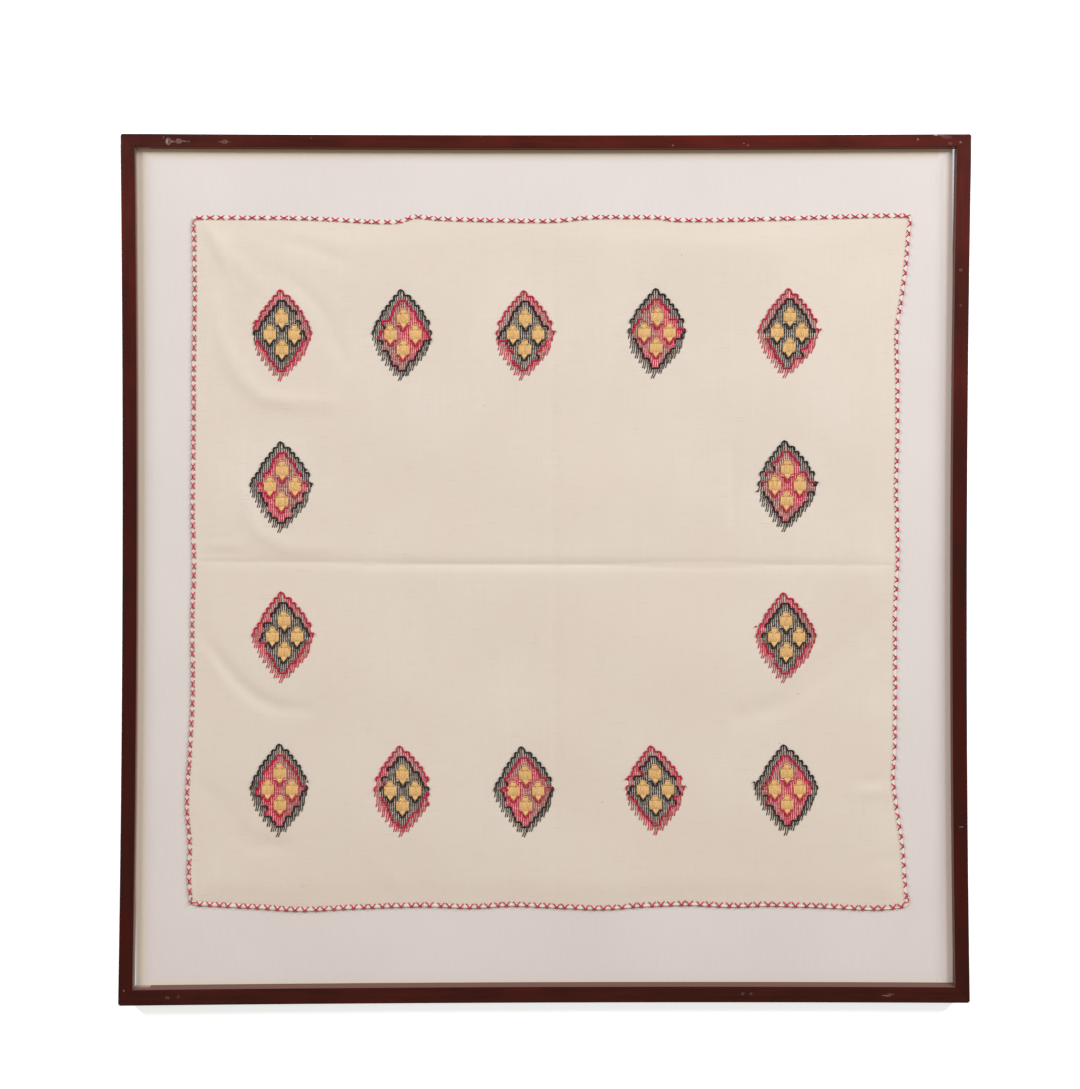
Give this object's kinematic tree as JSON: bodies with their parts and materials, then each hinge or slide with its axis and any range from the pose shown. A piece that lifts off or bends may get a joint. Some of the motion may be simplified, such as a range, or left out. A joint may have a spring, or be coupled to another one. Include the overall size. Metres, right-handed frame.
{
  "type": "framed embroidered panel",
  "caption": "Hand-hemmed cotton square embroidered with stepped lozenges, laid on a mount board in a slim stained wooden frame.",
  "frame": {"origin": "middle of the frame's outline, in the plane of the rails' backs that it rests on", "axes": "+Z out of the embroidered face, +Y to the picture's top edge, +X to its right"},
  "size_m": [0.9059, 0.9256, 0.025],
  "materials": {
    "frame_wood": "stained and rubbed, satin",
    "mount_board": "matt paper-faced board",
    "cotton_cloth": "matt handwoven cotton",
    "red_thread": "matt cotton thread",
    "black_thread": "matt cotton thread",
    "yellow_thread": "matt cotton thread"
  },
  "bodies": {
    "root": {"rail_bottom": "frame_wood", "rail_right": "frame_wood", "rail_top": "frame_wood", "rail_left": "frame_wood", "mount_board": "mount_board", "cloth": "cotton_cloth"}
  },
  "joints": []
}
